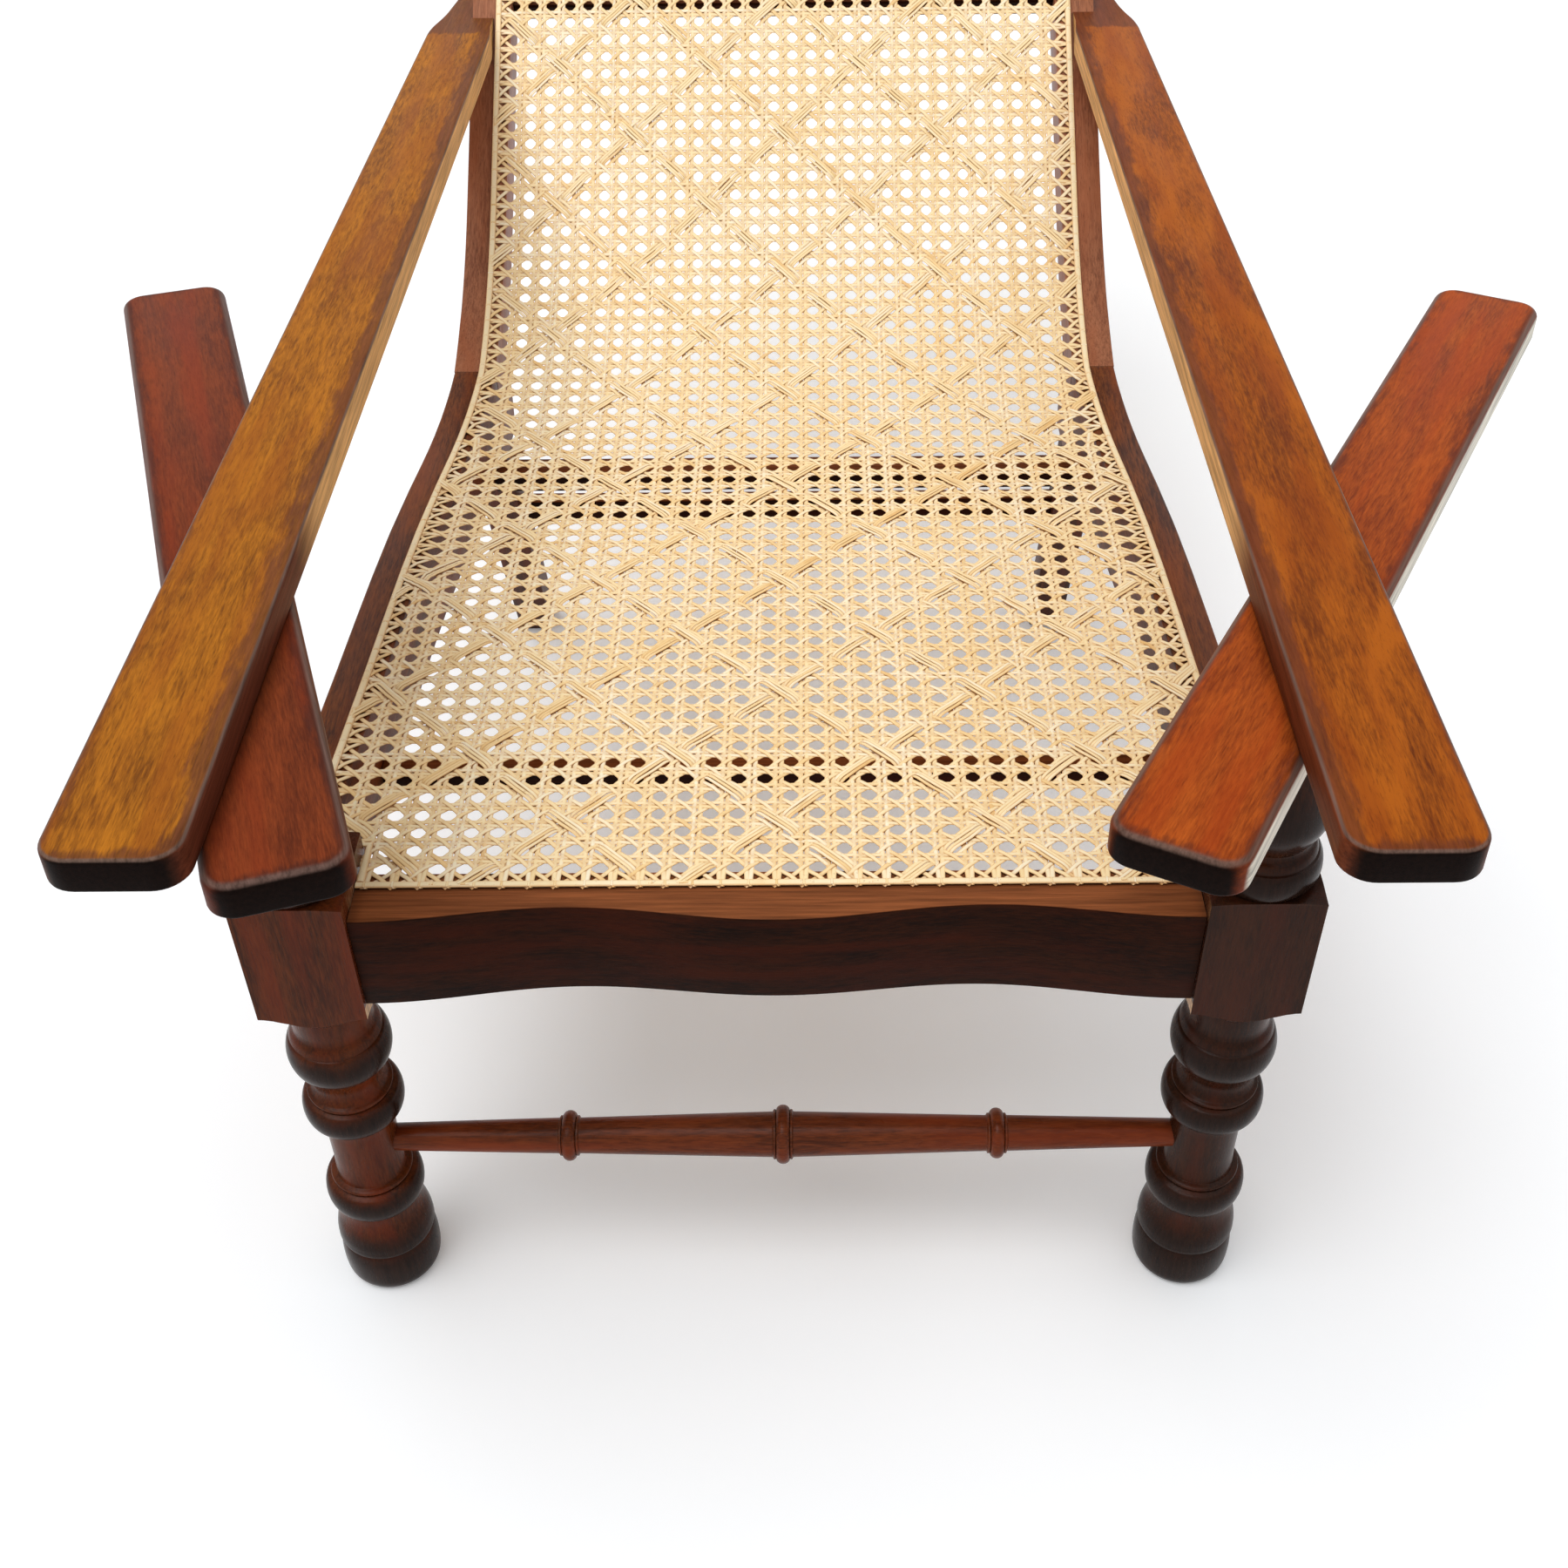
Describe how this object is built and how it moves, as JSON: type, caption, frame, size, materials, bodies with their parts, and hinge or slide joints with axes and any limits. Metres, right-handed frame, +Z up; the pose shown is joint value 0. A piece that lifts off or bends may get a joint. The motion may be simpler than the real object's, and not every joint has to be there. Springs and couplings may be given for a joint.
{
  "type": "planters chair",
  "caption": "Low reclining hardwood armchair with a caned seat and back, turned front legs and leg rests that swing out from under its long arms.",
  "frame": {"origin": "on the floor, under the middle of the chair's outline with its leg rests swung out as in the picture", "axes": "+X to the chair's right side as a person in front of it sees it, +Y to its back, +Z up"},
  "size_m": [0.9762, 1.5716, 0.8611],
  "materials": {
    "arm_wood": "satin, golden brown, worn darker along the edges",
    "rest_wood": "satin, red-brown, near black at the front ends",
    "leg_wood": "satin, dark brown with blackened beads and redder hollows",
    "rail_wood": "satin, dark red-brown with fine straight grain",
    "stile_wood": "satin, purple-brown",
    "cane": "semi-gloss split rattan, pale straw",
    "steel": "dulled"
  },
  "bodies": {
    "chair_frame": {"front_leg_left": "leg_wood", "side_rail_left": "rail_wood", "rear_leg_left": "leg_wood", "back_stile_left": "stile_wood", "lap_dowel_left": "rail_wood", "arm_left": "arm_wood", "arm_screw_left": "steel", "pivot_pin_left": "rail_wood", "cane_binder_left": "cane", "front_leg_right": "leg_wood", "side_rail_right": "rail_wood", "rear_leg_right": "leg_wood", "back_stile_right": "stile_wood", "lap_dowel_right": "rail_wood", "arm_right": "arm_wood", "arm_screw_right": "steel", "pivot_pin_right": "rail_wood", "cane_binder_right": "cane", "front_rail": "rail_wood", "front_stretcher": "leg_wood", "seat_bearer": "rail_wood", "rear_seat_rail": "rail_wood", "rear_stretcher": "leg_wood", "back_cross_rail": "rail_wood", "crest_rail": "stile_wood", "cane_panel": "cane", "cane_binder_front": "cane", "cane_binder_top": "cane"},
    "leg_rest_left": {"leg_rest_left": "rest_wood"},
    "leg_rest_right": {"leg_rest_right": "rest_wood"}
  },
  "joints": [
    {"name": "leg_rest_left_swing", "type": "hinge", "parent": "chair_frame", "child": "leg_rest_left", "pos_m": [-0.32343, -0.56776, 0.6085], "axis": [0, 0.0469, 0.9989], "range_deg": [-18.4, 161.6]},
    {"name": "leg_rest_right_swing", "type": "hinge", "parent": "chair_frame", "child": "leg_rest_right", "pos_m": [0.26057, -0.56776, 0.6085], "axis": [0, 0.0469, 0.9989], "range_deg": [-152.2, 27.8]}
  ]
}
